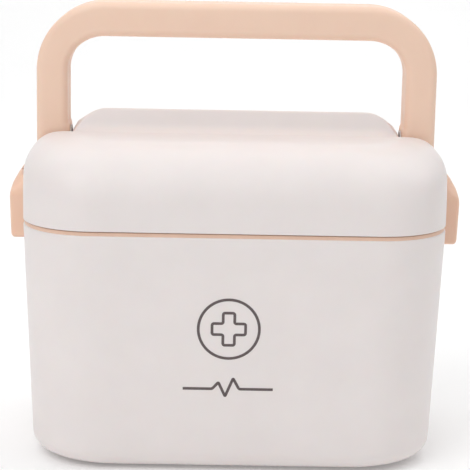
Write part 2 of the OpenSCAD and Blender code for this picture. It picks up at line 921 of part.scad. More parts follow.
module tray() {
    color(peach)
    difference() {
        union() {
            translate([0, 0, tub_floor])
                linear_extrude(tray_wall)
                    rim_outline(tub_in);
            rim_band(tub_floor, tray_deep + flange_t, tub_in, tray_wall);
            rim_band(rim_z, flange_t, flange_in, tub_in - flange_in + tray_wall);
            intersection() {
                translate([0, 0, tub_floor])
                    linear_extrude(tray_deep)
                        rim_outline(tub_in);
                union() {
                    translate([-half_w, -tray_wall / 2, tub_floor])
                        cube([body_w, tray_wall, tray_deep]);
                    for (x = [-1, 1]) {
                        translate([x * tray_cell_x - tray_wall / 2, -half_d, tub_floor])
                            cube([tray_wall, half_d, tray_deep]);
                        tray_guides(x * tray_divider_x);
                    }
                }
            }
            tray_grip();
        }
        finger_slot();
    }
}

// Upright grip on the tray's middle wall.
module tray_grip() {
    r = grip_corner_r;
    root = 3 * tray_wall;
    rotate([90, 0, 0])
        linear_extrude(tray_wall * 1.5, center = true) {
            translate([-grip_half, rim_z - root])
                square([2 * grip_half, root + grip_up - r]);
            translate([r - grip_half, rim_z])
                square([2 * (grip_half - r), grip_up]);
            for (x = [-1, 1])
                translate([x * (grip_half - r), rim_z + grip_up - r])
                    circle(r);
        }
}

// Finger slot through the grip: a long hole with round ends.
module finger_slot() {
    translate([0, tray_wall * 2, rim_z + grip_up - slot_over - slot_r])
        rotate([90, 0, 0]) {
            translate([-slot_half, -slot_r, 0])
                cube([2 * slot_half, 2 * slot_r, 4 * tray_wall]);
            for (x = [-1, 1])
                translate([x * slot_half, 0, 0])
                    cylinder(r = slot_r, h = 4 * tray_wall);
        }
}

module tray_divider(side) {
    y0 = tray_wall / 2 + guide_c;
    length = half_d - tub_in - tray_wall - guide_c - y0;
    height = tray_deep - tray_wall - guide_c - divider_down;
    color(white)
    translate([side * tray_divider_x - divider_t / 2, y0, tub_floor + tray_wall + guide_c])
        difference() {
            cube([divider_t, length, height]);
            translate([-overlap, length / 2, height + divider_notch_r / 3])
                rotate([0, 90, 0])
                    cylinder(r = divider_notch_r, h = divider_t + 2 * overlap);
        }
}

body_shell();
rim_seal();
lower_divider();
foot(-1, -1);  // foot_front_left
foot(1, -1);  // foot_front_right
foot(-1, 1);  // foot_rear_left
foot(1, 1);  // foot_rear_right
hinge_pin(-1);  // hinge_pin_left
hinge_pin(1);  // hinge_pin_right
lid_shell();
pivot_pin(-1);  // pivot_pin_left
pivot_pin(1);  // pivot_pin_right
pivot_clip(-1);  // pivot_clip_left
pivot_clip(1);  // pivot_clip_right
latch_pin(-1);  // latch_pin_left
latch_pin(1);  // latch_pin_right
handle_front();
handle_back();
handle_screws();
pivot_washer(-1);  // pivot_washer_left
pivot_washer(1);  // pivot_washer_right
latch_left();
latch_right();
tray();
tray_divider(-1);  // tray_divider_left
tray_divider(1);  // tray_divider_right
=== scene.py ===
"""Looks of the medicine box: moulded lid, body, handle and latches, their finishes, the light and the camera.

Sizes are in millimetres, as in the part's source, and become metres in the meshes.
The lid, latches and small moulded pieces are fields: functions that give a point's distance to the surface,
negative inside. Fields are joined and cut with rounded edges and fillets, and skinned on a grid.
"""

import json
import math

import bmesh
import bpy
import numpy as np
from mathutils import Matrix, Vector


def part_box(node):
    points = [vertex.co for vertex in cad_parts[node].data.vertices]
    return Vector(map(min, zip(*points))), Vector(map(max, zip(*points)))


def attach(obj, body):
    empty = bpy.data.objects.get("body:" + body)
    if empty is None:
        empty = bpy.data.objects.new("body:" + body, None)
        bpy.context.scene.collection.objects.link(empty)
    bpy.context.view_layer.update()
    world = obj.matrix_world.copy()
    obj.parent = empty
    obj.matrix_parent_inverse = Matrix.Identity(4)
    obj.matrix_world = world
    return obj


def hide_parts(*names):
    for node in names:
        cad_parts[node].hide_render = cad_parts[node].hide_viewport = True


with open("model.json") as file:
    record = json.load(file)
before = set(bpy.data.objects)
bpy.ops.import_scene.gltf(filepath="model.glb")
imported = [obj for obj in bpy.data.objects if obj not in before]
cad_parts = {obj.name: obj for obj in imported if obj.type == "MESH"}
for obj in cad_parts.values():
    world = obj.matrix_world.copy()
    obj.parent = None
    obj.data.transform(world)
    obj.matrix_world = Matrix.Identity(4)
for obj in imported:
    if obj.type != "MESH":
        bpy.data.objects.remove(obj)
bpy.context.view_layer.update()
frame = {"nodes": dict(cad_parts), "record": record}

MM = 0.001
FREE = 0.02

# Grid steps of the skins
LID_STEP = 1.2
LATCH_STEP = 0.6
RIB_STEP = 0.5
SMALL_STEP = 0.45

# Sizes read from the frame
seal_low, seal_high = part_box("rim_seal")
HALF_W = seal_high.x / MM
HALF_D = seal_high.y / MM
RIM_Z = seal_low.z / MM
HANDLE_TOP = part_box("handle_front")[1].z / MM
HANDLE_FRONT = -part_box("handle_front")[0].y / MM
ARM_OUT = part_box("handle_front")[1].x / MM
LATCH_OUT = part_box("latch_right")[1].x / MM
LATCH_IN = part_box("latch_right")[0].x / MM
FOOT_OUT = 1.5

# Body
DRAFT_IN = 5
CORNER_R = 42
BASE_ROUND = 12
WALL = 2.5
FLOOR_T = 3
SHELF_W = 8.5
SHELF_T = 3
SHELF_ROUND = 0.5
RIM_ROUND = 1.5
RIM_FLAT_IN = 3
UNDERSIDE_INSETS = (44, 30, 20)
FLOOR_INSETS = (30, 46)
OUTER_LEVELS = (30, 60, 90, 120, 130)
INNER_LEVELS = (100, 60, 30)

# Lid, with heights over its lower edge
LID_Z = RIM_Z + 2.5
LID_H = 47
LID_STRAIGHT = 12.5
SHOULDER_D = 37
SHOULDER_SIDE = 20
LEDGE_H = 23
LEDGE_ROUND = 6
HUMP_H = 60.5
HUMP_SLOPE = 17 / 72.8
HUMP_HALF = 99
HUMP_REAR_IN = 1
HUMP_TOP_HALF = 83
HUMP_SIDE_A = 52
HUMP_EDGE_R = 7
HUMP_BACK_Y = 62.6
HUMP_CORNER_R = 20
NOTCH_Y = -16.2
RISER_TOP_Y = -10.2
RISER_RUN = 8
RISER_FOOT_R = 6
FOOT_FADE_X = 88
FOOT_FADE_W = 9
LID_EDGE_R = 1.3
LID_CORNER_R = 1.5
HUMP_WALL_R = 2
LEDGE_UNDER = 12
LEDGE_FADE = 6
BOSS_R = 9
BOSS_DEEP = 3
BOSS_FILLET = 0.8
BORE_FROM_X = 60

# Seal, as insets from the rim's outline and heights over the rim
SEAL_UNDER = 0.3
SEAL_IN = 0.8
SEAL_H = 1.9
SEAL_ROUND = 0.4
LIP_OUT = 3.0
LIP_IN = 4.4
LIP_TOP = 7.5
LIP_ROUND = 0.4

# Handle
PIVOT_H = 39.5
PIVOT_Z = LID_Z + PIVOT_H
PIVOT_R = 4
GRIP_T = 19.4
ARM_T = 18.6
BAR_T = 20.3
GRIP_CORNER = 41
GRIP_ROUND = 4.5
HUB_R = 9
HUB_STEP = 3
SPLIT_GAP = 0.12
SPLIT_ROUND = 0.35
SCREW_SEAT_R = 3.1
SCREW_SEAT = 4.5
SCREW_LIP = 0.4
SCREW_IN = 52
SCREW_UP = 30

# Latches
LATCH_DOWN = 16.2
LATCH_UP = 22.5
LATCH_BEND = 12
LATCH_LEAN = 0.8
LATCH_W = 56
LATCH_TOP_W = 42.5
LATCH_PIN_X = HALF_W + 3.8
LATCH_PIN_DOWN = 5.6
LATCH_PIN_Z = LID_Z + LATCH_UP - LATCH_PIN_DOWN
LATCH_PIN_R = 1.2
LATCH_PIN_HALF = 18
LATCH_WALL = 2.2
LATCH_PEAK = 1.4
LATCH_TOP_T = 0.8
LATCH_EDGE_R = 3
LATCH_SIDE_R = 2.4
LATCH_TOP_SIDE_R = 5.5
LATCH_BEND_R = 3
LATCH_LEAN_R = 4
LATCH_TAPER_R = 1.5
LATCH_GROW_UNDER = 3
LATCH_GROW_SHORT = 2
LATCH_PEAK_R = 0.3
LATCH_CROWN_R = 0.5
LATCH_MOUTH_R = 0.4
LATCH_CUT_R = 0.3
EAR_C = 0.4
EAR_HALF = 10
EAR_R = 2.3
EAR_DROP = 12
CHEEK_DROP = 9
KEEPER_Z = RIM_Z - 8
KEEPER_OUT = 1.3
KEEPER_H = 5
KEEPER_HALF = 20
KEEPER_EDGE_R = 0.5

# Rear hinges
HINGE_X = HALF_W - 58
HINGE_LEN = 42
HINGE_Y = HALF_D + 4
HINGE_Z = (RIM_Z + LID_Z) / 2
KNUCKLE_R = 3.5
KNUCKLE_C = 0.3
HINGE_PIN_R = 1.5
GUSSET_H = 14

# Guides of the loose divider in the body
DIVIDER_X = 25
DIVIDER_T = 1.8
GUIDE_T = 1.6
GUIDE_C = 0.3
GUIDE_IN = 10.5
GUIDE_GRID_IN = 12
GUIDE_GRID_HALF = 4
GUIDE_TOP = RIM_Z - 46
RIB_EDGE_R = 0.4

# Camera, as the photograph was taken
AIM = (0, -HALF_D, RIM_Z + 2.1)
CAMERA_DISTANCE = 965
CAMERA_ELEVATION = 12
CAMERA_ROLL = 1.09
CAMERA_TURN = -0.5
LENS = 131


# Small helpers for fields

def wall_lean(z):
    """How far the body's wall has leaned in at height z."""
    return DRAFT_IN * (RIM_Z - z) / (RIM_Z - FOOT_OUT)


def both(a, b, r):
    """Intersection of two fields, with the edge rounded to radius r."""
    corner = np.hypot(np.maximum(a + r, 0), np.maximum(b + r, 0))
    return np.minimum(-r, np.maximum(a, b)) + corner


def either(a, b, r):
    """Union of two fields, with a concave fillet of radius r."""
    corner = np.hypot(np.maximum(r - a, 0), np.maximum(r - b, 0))
    return np.maximum(r, np.minimum(a, b)) - corner


def without(a, b, r=0.01):
    """Field a with field b cut out, the edge rounded to radius r."""
    return both(a, -b, r)


def smooth_share(t):
    """Share from 0 to 1 that starts and ends gently."""
    return t * t * (3 - 2 * t)


def slab(value, low, high):
    """Field that is negative where value lies between low and high."""
    return np.maximum(low - value, value - high)


def rounded_plan(x, y, half_x, front, back, r):
    """Distance to a rounded rectangle, seen from above."""
    over_x = np.abs(x) - (half_x - r)
    over_y = np.abs(y - (front + back) / 2) - ((back - front) / 2 - r)
    outside = np.hypot(np.maximum(over_x, 0), np.maximum(over_y, 0))
    return outside + np.minimum(np.maximum(over_x, over_y), 0) - r


def plane(value_a, value_b, point, normal):
    """Distance to a plane through a point of two coordinates, positive along the normal."""
    length = math.hypot(*normal)
    return ((value_a - point[0]) * normal[0] + (value_b - point[1]) * normal[1]) / length


def rod(a, b, r):
    """Field of an endless rod, from the two coordinates across it."""
    return np.hypot(a, b) - r


# Skinning of fields

def slope_of(field, points, reach=0.05):
    """Gradient of a field at each point, by central differences."""
    slope = np.empty_like(points)
    for axis in range(3):
        ahead = points.copy()
        behind = points.copy()
        ahead[:, axis] += reach
        behind[:, axis] -= reach
        slope[:, axis] = (field(*ahead.T) - field(*behind.T)) / (2 * reach)
    return slope


def grid_skin(field, low, high, step):
    """Points and quads where the field crosses zero on a grid: one point for each cell that it crosses."""
    axes = [np.arange(low[i], high[i] + step, step) for i in range(3)]
    grid = np.meshgrid(*axes, indexing="ij", sparse=True)
    value = np.broadcast_to(field(*grid), [len(a) for a in axes])
    inside = value < 0
    shape = [n - 1 for n in value.shape]
    corners = sum(
        inside[i:i + shape[0], j:j + shape[1], k:k + shape[2]].astype(np.int8)
        for i in (0, 1) for j in (0, 1) for k in (0, 1)
    )
    crossed = (corners > 0) & (corners < 8)
    cells = np.argwhere(crossed)
    number = np.full(shape, -1)
    number[crossed] = np.arange(len(cells))
    total = np.zeros((len(cells), 3))
    hits = np.zeros(len(cells))
    for axis in range(3):
        others = [i for i in range(3) if i != axis]
        for across in ((0, 0), (0, 1), (1, 0), (1, 1)):
            start = cells.copy()
            start[:, others[0]] += across[0]
            start[:, others[1]] += across[1]
            end = start.copy()
            end[:, axis] += 1
            a = value[tuple(start.T)]
            b = value[tuple(end.T)]
            crosses = (a < 0) != (b < 0)
            point = start[crosses].astype(float)
            point[:, axis] += a[crosses] / (a[crosses] - b[crosses])
            total[crosses] += point
            hits[crosses] += 1
    points = total / hits[:, None] * step + np.array(low)
    quads = []
    for axis in range(3):
        u, v = [(axis + 1) % 3, (axis + 2) % 3]
        here = np.take(inside, range(value.shape[axis] - 1), axis)
        there = np.take(inside, range(1, value.shape[axis]), axis)
        edges = np.argwhere(here != there)
        edges = edges[(edges[:, u] > 0) & (edges[:, v] > 0)]
        edges = edges[(edges[:, u] < shape[u]) & (edges[:, v] < shape[v])]
        ring = []
        for back_u, back_v in ((1, 1), (0, 1), (0, 0), (1, 0)):
            cell = edges.copy()
            cell[:, u] -= back_u
            cell[:, v] -= back_v
            ring.append(number[tuple(cell.T)])
        ring = np.stack(ring, 1)
        leaving = inside[tuple(edges.T)]
        quads.append(np.where(leaving[:, None], ring, ring[:, ::-1]))
    return points, np.concatenate(quads)


def skin(field, low, high, step):
    """Points, quads and normals of a field's surface, with the points moved onto it."""
    points, quads = grid_skin(field, low, high, step)
    for _ in range(5):
        slope = slope_of(field, points)
        steepness = np.maximum((slope ** 2).sum(1), 1e-3)
        move = slope * (field(*points.T) / steepness)[:, None]
        length = np.maximum(np.linalg.norm(move, axis=1), 1e-9)
        points -= move * np.minimum(1, 0.4 * step / length)[:, None]
    slope = slope_of(field, points)
    normals = slope / np.maximum(np.linalg.norm(slope, axis=1), 1e-9)[:, None]
    return points, quads, normals


# Making of pieces

def make_piece(name, points, faces, body, material, normals=None, sharp=None):
    """Mesh piece from points in millimetres, riding on a body and finish."""
    mesh = bpy.data.meshes.new(name)
    mesh.from_pydata((np.asarray(points) * MM).tolist(), [], [list(map(int, f)) for f in faces])
    mesh.validate()
    mesh.update()
    mesh.shade_smooth()
    if sharp is not None:
        mesh.set_sharp_from_angle(angle=math.radians(sharp))
    if normals is not None and len(normals) == len(mesh.vertices):
        mesh.normals_split_custom_set_from_vertices(np.asarray(normals).tolist())
    elif normals is not None:
        mesh.normals_split_custom_set(np.asarray(normals).tolist())
    piece = bpy.data.objects.new(name, mesh)
    bpy.context.scene.collection.objects.link(piece)
    mesh.materials.append(material)
    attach(piece, body)
    return piece


def field_piece(name, field, low, high, step, body, material):
    """Piece that skins a field."""
    points, quads, normals = skin(field, low, high, step)
    return make_piece(name, points, quads, body, material, normals=normals)


def field_pair(name, field, low, high, step, bodies, material):
    """Piece that skins a field on the box's right side, and its mirror image on the left.

    The name has a gap for the side, and bodies are the right and the left one.
    """
    right = field_piece(name.format("right"), field, low, high, step, bodies[0], material)
    left = field_piece(
        name.format("left"), lambda x, y, z: field(-x, y, z),
        (-high[0], low[1], low[2]), (-low[0], high[1], high[2]), step, bodies[1], material,
    )
    return right, left


def ring_faces(rings, count, closed_path=False):
    """Quads between rings of equally many points, with two caps.

    A closed path has its last ring joined to the first instead.
    """
    faces = []
    for k in range(rings if closed_path else rings - 1):
        m = (k + 1) % rings
        for i in range(count):
            j = (i + 1) % count
            faces.append((k * count + i, k * count + j, m * count + j, m * count + i))
    if not closed_path:
        faces.append(tuple(range(count))[::-1])
        faces.append(tuple((rings - 1) * count + i for i in range(count)))
    return faces


# Lid

def side_inset(z):
    """How far the front part's left and right sides have curved in at height z."""
    up = np.clip(z - (LID_H - SHOULDER_SIDE), 0, SHOULDER_SIDE)
    return SHOULDER_SIDE - np.sqrt(SHOULDER_SIDE ** 2 - up ** 2)


def front_inset(z):
    """How far the front shoulder has curved back at height z."""
    share = np.clip((z - LID_STRAIGHT) / (LID_H - LID_STRAIGHT), 0, 1)
    return SHOULDER_D * (1 - np.sqrt(1 - share ** 2))


def level_distance(x, y, z):
    """Distance, along the level, to the front part's outline at height z."""
    over_x = np.abs(x) - (HALF_W - side_inset(z) - CORNER_R)
    over_y = -HALF_D + front_inset(z) + CORNER_R - y
    outside = np.hypot(np.maximum(over_x, 0), np.maximum(over_y, 0))
    return outside + np.minimum(np.maximum(over_x, over_y), 0) - CORNER_R


def dome_height(x, y):
    """Height of the front part's surface over a point of its plan, found by halving."""
    low = np.zeros(np.broadcast(x, y).shape)
    high = np.full(low.shape, float(LID_H))
    for _ in range(26):
        middle = (low + high) / 2
        covered = level_distance(x, y, middle) < 0
        low = np.where(covered, middle, low)
        high = np.where(covered, high, middle)
    return (low + high) / 2


def dome(x, y, z):
    """Front part of the lid, before it is cut off at the handle's notch."""
    across = level_distance(x, y, np.clip(z, 0, LID_H - 0.001))
    up = z - dome_height(x, y)
    size = np.maximum(np.hypot(across, up), 1e-9)
    slanted = np.abs(across) * np.abs(up) / size
    outside = (across >= 0) & (up >= 0)
    inside = (across <= 0) & (up <= 0)
    form = np.where(outside, slanted, np.where(inside, -slanted, np.maximum(across, up)))
    return np.maximum(form, z - LID_H)


def ledge(plan, y, z):
    """Low block of the lid behind its front part, which the folded handle lies on."""
    block = both(plan, z - LEDGE_H, LEDGE_ROUND)
    return np.maximum(block, NOTCH_Y - LEDGE_UNDER - y)


def riser(y, z):
    """Front face of the raised middle, which leans back."""
    return plane(y, z, (RISER_TOP_Y, HUMP_H), (-(HUMP_H - PIVOT_H), RISER_RUN))


def hump(x, y, z):
    """Raised middle of the lid."""
    top = plane(y, z, (RISER_TOP_Y, HUMP_H), (HUMP_SLOPE, 1))
    turn = math.radians(HUMP_SIDE_A)
    edge_x = HUMP_TOP_HALF + HUMP_EDGE_R * math.tan(turn / 2)
    front_corner = Vector((edge_x, RISER_TOP_Y, HUMP_H))
    low_z = HUMP_H - (HUMP_HALF - edge_x) * math.tan(turn)
    low_y = RISER_TOP_Y - RISER_RUN * (HUMP_H - low_z) / (HUMP_H - PIVOT_H)
    low_corner = Vector((HUMP_HALF, low_y, low_z))
    rear_y = HUMP_BACK_Y - HUMP_CORNER_R
    rear_corner = Vector((HUMP_HALF - HUMP_REAR_IN, rear_y, HUMP_H - HUMP_SLOPE * (rear_y - RISER_TOP_Y)))
    normal = (low_corner - front_corner).cross(rear_corner - front_corner).normalized()
    if normal.x < 0:
        normal = -normal
    slant = (np.abs(x) - edge_x) * normal.x + (y - RISER_TOP_Y) * normal.y + (z - HUMP_H) * normal.z
    plan = rounded_plan(x, y, HUMP_HALF, -HUMP_BACK_Y, HUMP_BACK_Y, HUMP_CORNER_R)
    form = both(top, slant, HUMP_EDGE_R)
    form = both(form, plan, HUMP_WALL_R)
    return both(form, riser(y, z), LID_EDGE_R)


def lid_outside(x, y, z):
    """Outer form of the whole lid, heights over its lower edge."""
    front = both(dome(x, y, z), y - NOTCH_Y, LID_EDGE_R)
    near_arm = np.clip((np.abs(x) - FOOT_FADE_X) / FOOT_FADE_W, 0, 1)
    fillet = RISER_FOOT_R + (LID_CORNER_R - RISER_FOOT_R) * smooth_share(near_arm)
    form = either(front, hump(x, y, z), fillet)
    plan = rounded_plan(x, y, HALF_W, -HALF_D, HALF_D, CORNER_R)
    inward = np.clip(-plan / LEDGE_FADE, 0, 1)
    return either(form, ledge(plan, y, z), 0.01 + LID_CORNER_R * inward)


def lid_field(x, y, z):
    """The lid's shell, open below, with its pivot bosses."""
    up = z - LID_Z
    outside = lid_outside(x, y, up)
    shell = without(outside, outside + WALL)
    pivot = np.hypot(y, up - PIVOT_H)
    boss = np.maximum(pivot - BOSS_R, HUMP_HALF - WALL - BOSS_DEEP - np.abs(x))
    shell = either(shell, np.maximum(boss, outside), BOSS_FILLET)
    bore = np.maximum(pivot - PIVOT_R - FREE, BORE_FROM_X - np.abs(x))
    return np.maximum(shell, -bore)


def cut_level(field, points, faces, level):
    """Cuts a skin off below a level and closes it there; gives points, faces and a normal for each corner."""
    form = bmesh.new()
    verts = [form.verts.new(p) for p in points]
    for face in faces:
        form.faces.new([verts[i] for i in face])
    everything = form.verts[:] + form.edges[:] + form.faces[:]
    cut_made = bmesh.ops.bisect_plane(
        form, geom=everything, dist=0.001, plane_co=(0, 0, level), plane_no=(0, 0, 1), clear_inner=True)
    rim = [part for part in cut_made["geom_cut"] if isinstance(part, bmesh.types.BMEdge)]
    bmesh.ops.triangle_fill(form, edges=rim, use_beauty=True, normal=(0, 0, -1))
    form.verts.index_update()
    points = np.array([v.co for v in form.verts])
    slope = slope_of(field, points)
    slope /= np.maximum(np.linalg.norm(slope, axis=1), 1e-9)[:, None]
    faces = []
    normals = []
    for face in form.faces:
        around = [v.index for v in face.verts]
        flat = np.abs(points[around, 2] - level).max() < 0.002
        faces.append(around)
        normals.extend((0, 0, -1) if flat else slope[i] for i in around)
    form.free()
    return points, faces, normals


def make_lid(material):
    """The lid, cut off flat at its lower edge."""
    low = (-HALF_W - 2.5, -HALF_D - 2.5, LID_Z - 2.3)
    high = (HALF_W + 2.5, HALF_D + 2.5, LID_Z + HUMP_H + 2.5)
    points, quads, _ = skin(lid_field, low, high, LID_STEP)
    points, faces, normals = cut_level(lid_field, points, quads, LID_Z)
    lid = make_piece("lid_moulding", points, faces, "lid", material, normals=normals)
    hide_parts("lid_shell")


def knuckle_field(x, y, z, middle, up):
    """Hinge knuckle with its gusset; up is 1 for the lid and -1 for the body."""
    length = HINGE_LEN / 3 - KNUCKLE_C
    across = y - HINGE_Y
    rise = up * (z - HINGE_Z)
    barrel = rod(across, rise, KNUCKLE_R)
    back = HINGE_Y - HALF_D
    slope = plane(across, rise, (KNUCKLE_R * 0.9, 0), (GUSSET_H, back + KNUCKLE_R))
    gusset = np.maximum(slope, np.maximum(-across - back - WALL / 2, -rise))
    clear_of_seam = (LID_Z - RIM_Z) / 2 - rise
    gusset = np.maximum(gusset, np.where(across < -KNUCKLE_R * 0.7, clear_of_seam, -1.0))
    form = np.minimum(barrel, gusset)
    form = both(form, np.abs(x - middle) - length / 2, RIB_EDGE_R)
    return np.maximum(form, -rod(across, rise, HINGE_PIN_R + FREE))


def make_knuckles(material):
    """Three knuckles to a hinge: the middle one on the lid, the outer two on the body."""
    third = HINGE_LEN / 3
    for side, side_name in ((-1, "left"), (1, "right")):
        spots = (
            ("lid_knuckle_" + side_name, 0, 1, "lid"),
            ("body_knuckle_a_" + side_name, -third, -1, "box"),
            ("body_knuckle_b_" + side_name, third, -1, "box"),
        )
        for name, offset, up, body in spots:
            middle = side * HINGE_X + offset
            low_z = HINGE_Z - 5 if up > 0 else HINGE_Z - GUSSET_H - 3
            high_z = HINGE_Z + GUSSET_H + 3 if up > 0 else HINGE_Z + 5
            low = (middle - third / 2 - 1, HALF_D - WALL / 2 - 1, low_z)
            high = (middle + third / 2 + 1, HINGE_Y + 5, high_z)
            field_piece(
                name, lambda x, y, z, m=middle, u=up: knuckle_field(x, y, z, m, u),
                low, high, SMALL_STEP, body, material,
            )


def ear_field(x, y, z):
    """Ear on the lid's side wall that carries the right latch's pin."""
    out = x - LATCH_PIN_X
    rise = z - LATCH_PIN_Z
    root = -(LATCH_PIN_X - HALF_W)
    barrel = rod(out, rise, EAR_R)
    outer = plane(out, rise, (EAR_R * 0.85, -EAR_R * 0.5), (EAR_DROP, root - EAR_R))
    upper = plane(out, rise, (-EAR_R * 0.7, EAR_R * 0.7), (-1, 2))
    web = both(outer, upper, 0.5)
    web = np.maximum(web, plane(out, rise, (0, 0), (0.6, 0.8)))
    web = np.maximum(web, root - WALL / 2 - out)
    web = np.maximum(web, -EAR_DROP - rise)
    form = both(np.minimum(barrel, web), np.abs(y) - EAR_HALF, RIB_EDGE_R)
    return np.maximum(form, -rod(out, rise, LATCH_PIN_R + FREE))


def make_ears(material):
    """The two ears that carry the latches' pins."""
    low = (HALF_W - WALL, -EAR_HALF - 1, LATCH_PIN_Z - EAR_DROP - 1)
    high = (LATCH_PIN_X + EAR_R + 1, EAR_HALF + 1, LATCH_PIN_Z + EAR_R + 1)
    field_pair("lid_ear_{}", ear_field, low, high, SMALL_STEP, ("lid", "lid"), material)


# Body

def plan_ring(inset, z, r, steps=20):
    """Rounded rectangle at height z, inset from the rim's outline, with corner radius r."""
    ring = []
    centre_x = HALF_W - inset - r
    centre_y = HALF_D - inset - r
    for quarter, (sx, sy) in enumerate(((1, 1), (-1, 1), (-1, -1), (1, -1))):
        for i in range(steps + 1):
            a = math.radians(90 * (quarter + i / steps))
            ring.append((sx * centre_x + r * math.cos(a), sy * centre_y + r * math.sin(a), z))
    return ring


def make_body(material):
    """Drafted tub: underside, walls, rim with its inner shelf, inner walls and floor in one loft."""
    rings = [plan_ring(inset, FOOT_OUT, CORNER_R) for inset in UNDERSIDE_INSETS]
    for i in range(9):
        a = math.radians(90 - 90 * i / 8)
        z = FOOT_OUT + BASE_ROUND * (1 - math.sin(a))
        rings.append(plan_ring(wall_lean(z) + BASE_ROUND * (1 - math.cos(a)), z, CORNER_R))
    for z in OUTER_LEVELS:
        rings.append(plan_ring(wall_lean(z), z, CORNER_R))
    for i in range(5):
        a = math.radians(90 * i / 4)
        z = RIM_Z - RIM_ROUND * (1 - math.sin(a))
        inset = wall_lean(z) + RIM_ROUND * (1 - math.cos(a))
        rings.append(plan_ring(inset, z, CORNER_R - inset))
    shelf_edge = SHELF_W - SHELF_ROUND
    for inset in (RIM_FLAT_IN, shelf_edge):
        rings.append(plan_ring(inset, RIM_Z, CORNER_R - inset))
    for i in range(1, 5):
        a = math.radians(90 * i / 4)
        inset = shelf_edge + SHELF_ROUND * math.sin(a)
        rings.append(plan_ring(inset, RIM_Z - SHELF_ROUND * (1 - math.cos(a)), CORNER_R - inset))
    low_z = RIM_Z - SHELF_T
    rings.append(plan_ring(SHELF_W, low_z, CORNER_R - SHELF_W))
    inner_r = CORNER_R - WALL
    for z in (low_z, *INNER_LEVELS):
        rings.append(plan_ring(WALL + wall_lean(z), z, inner_r))
    round_in = BASE_ROUND - WALL
    for i in range(9):
        a = math.radians(90 * i / 8)
        z = FOOT_OUT + FLOOR_T + round_in * (1 - math.sin(a))
        inset = WALL + wall_lean(z) + round_in * (1 - math.cos(a))
        rings.append(plan_ring(inset, z, inner_r))
    for inset in FLOOR_INSETS:
        rings.append(plan_ring(inset, FOOT_OUT + FLOOR_T, inner_r))
    points = [p for ring in rings for p in ring]
    faces = ring_faces(len(rings), len(rings[0]))
    body = make_piece("body_moulding", points, faces, "box", material, sharp=32)
    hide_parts("body_shell")


def make_seal(material):
    """Seal on the body's rim: a band that shows, set back a little, and a lip inside the lid."""
    section = [(LIP_IN, -SEAL_UNDER), (SEAL_IN, -SEAL_UNDER)]
    for i in range(5):
        turn = math.radians(90 * i / 4)
        inset = SEAL_IN + SEAL_ROUND * (1 - math.cos(turn))
        section.append((inset, SEAL_H - SEAL_ROUND * (1 - math.sin(turn))))
    section += [(LIP_OUT, SEAL_H), (LIP_OUT, LIP_TOP - LIP_ROUND)]
    section += [(LIP_OUT + LIP_ROUND, LIP_TOP), (LIP_IN - LIP_ROUND, LIP_TOP)]
    section.append((LIP_IN, LIP_TOP - LIP_ROUND))
    rings = [plan_ring(inset, RIM_Z + z, CORNER_R - inset) for inset, z in section]
    points = [p for ring in rings for p in ring]
    faces = ring_faces(len(rings), len(rings[0]), closed_path=True)
    seal = make_piece("seal_band", points, faces, "box", material, sharp=32)
    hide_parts("rim_seal")


def keeper_field(x, y, z):
    """Ridged rib on the body's right side that the latch snaps past."""
    out = x - (HALF_W - wall_lean(KEEPER_Z))
    rise = np.abs(z - KEEPER_Z)
    ridge = plane(out, rise, (KEEPER_OUT, 0), (KEEPER_H / 2, KEEPER_OUT))
    form = np.maximum(ridge, -out - WALL / 2)
    return both(form, np.abs(y) - KEEPER_HALF, KEEPER_EDGE_R)


def make_keepers(material):
    """The two ribs that keep the latches shut."""
    low = (HALF_W - 3, -KEEPER_HALF - 1, KEEPER_Z - KEEPER_H)
    high = (HALF_W + 3, KEEPER_HALF + 1, KEEPER_Z + KEEPER_H)
    field_pair("body_keeper_{}", keeper_field, low, high, RIB_STEP, ("box", "box"), material)


def guide_field(x, y, z, side):
    """Pair of ribs inside the body that hold the loose divider."""
    middle = (DIVIDER_T + GUIDE_T) / 2 + GUIDE_C
    across = np.abs(np.abs(x - DIVIDER_X) - middle) - GUIDE_T / 2
    out = side * y
    inner = HALF_D - GUIDE_IN - out
    below = np.clip(FOOT_OUT + BASE_ROUND - z, 0, BASE_ROUND)
    rounding = BASE_ROUND - np.sqrt(BASE_ROUND ** 2 - below ** 2)
    outer = out - (HALF_D - WALL / 2 - wall_lean(z) - rounding)
    form = both(across, inner, RIB_EDGE_R)
    form = both(form, z - GUIDE_TOP, RIB_EDGE_R)
    return np.maximum(np.maximum(form, outer), FOOT_OUT + FLOOR_T / 2 - z)


def make_guides(material):
    """Ribs for the loose divider, at the front and the rear wall."""
    for side, name in ((-1, "front"), (1, "rear")):
        y_range = sorted((side * (HALF_D - GUIDE_GRID_IN), side * HALF_D))
        low = (DIVIDER_X - GUIDE_GRID_HALF, y_range[0], FOOT_OUT)
        high = (DIVIDER_X + GUIDE_GRID_HALF, y_range[1], GUIDE_TOP + 1)
        field_piece(
            "body_guide_" + name, lambda x, y, z, s=side: guide_field(x, y, z, s),
            low, high, RIB_STEP, "box", material,
        )


# Handle

def half_section(inner, outer, steps=8):
    """Half of the handle's section as (across, out), from the split on the inner side round to the outer."""
    b = HANDLE_FRONT
    r = GRIP_ROUND
    section = []
    for i in range(4):
        turn = math.radians(90 * i / 3)
        across = -inner + SPLIT_ROUND * (1 - math.sin(turn))
        section.append((across, SPLIT_GAP + SPLIT_ROUND * (1 - math.cos(turn))))
    for i in range(steps + 1):
        turn = math.radians(90 * i / steps)
        section.append((-inner + r - r * math.cos(turn), b - r + r * math.sin(turn)))
    for i in range(steps + 1):
        turn = math.radians(90 - 90 * i / steps)
        section.append((outer - r + r * math.cos(turn), b - r + r * math.sin(turn)))
    for i in range(4):
        turn = math.radians(90 - 90 * i / 3)
        across = outer - SPLIT_ROUND * (1 - math.sin(turn))
        section.append((across, SPLIT_GAP + SPLIT_ROUND * (1 - math.cos(turn))))
    return section


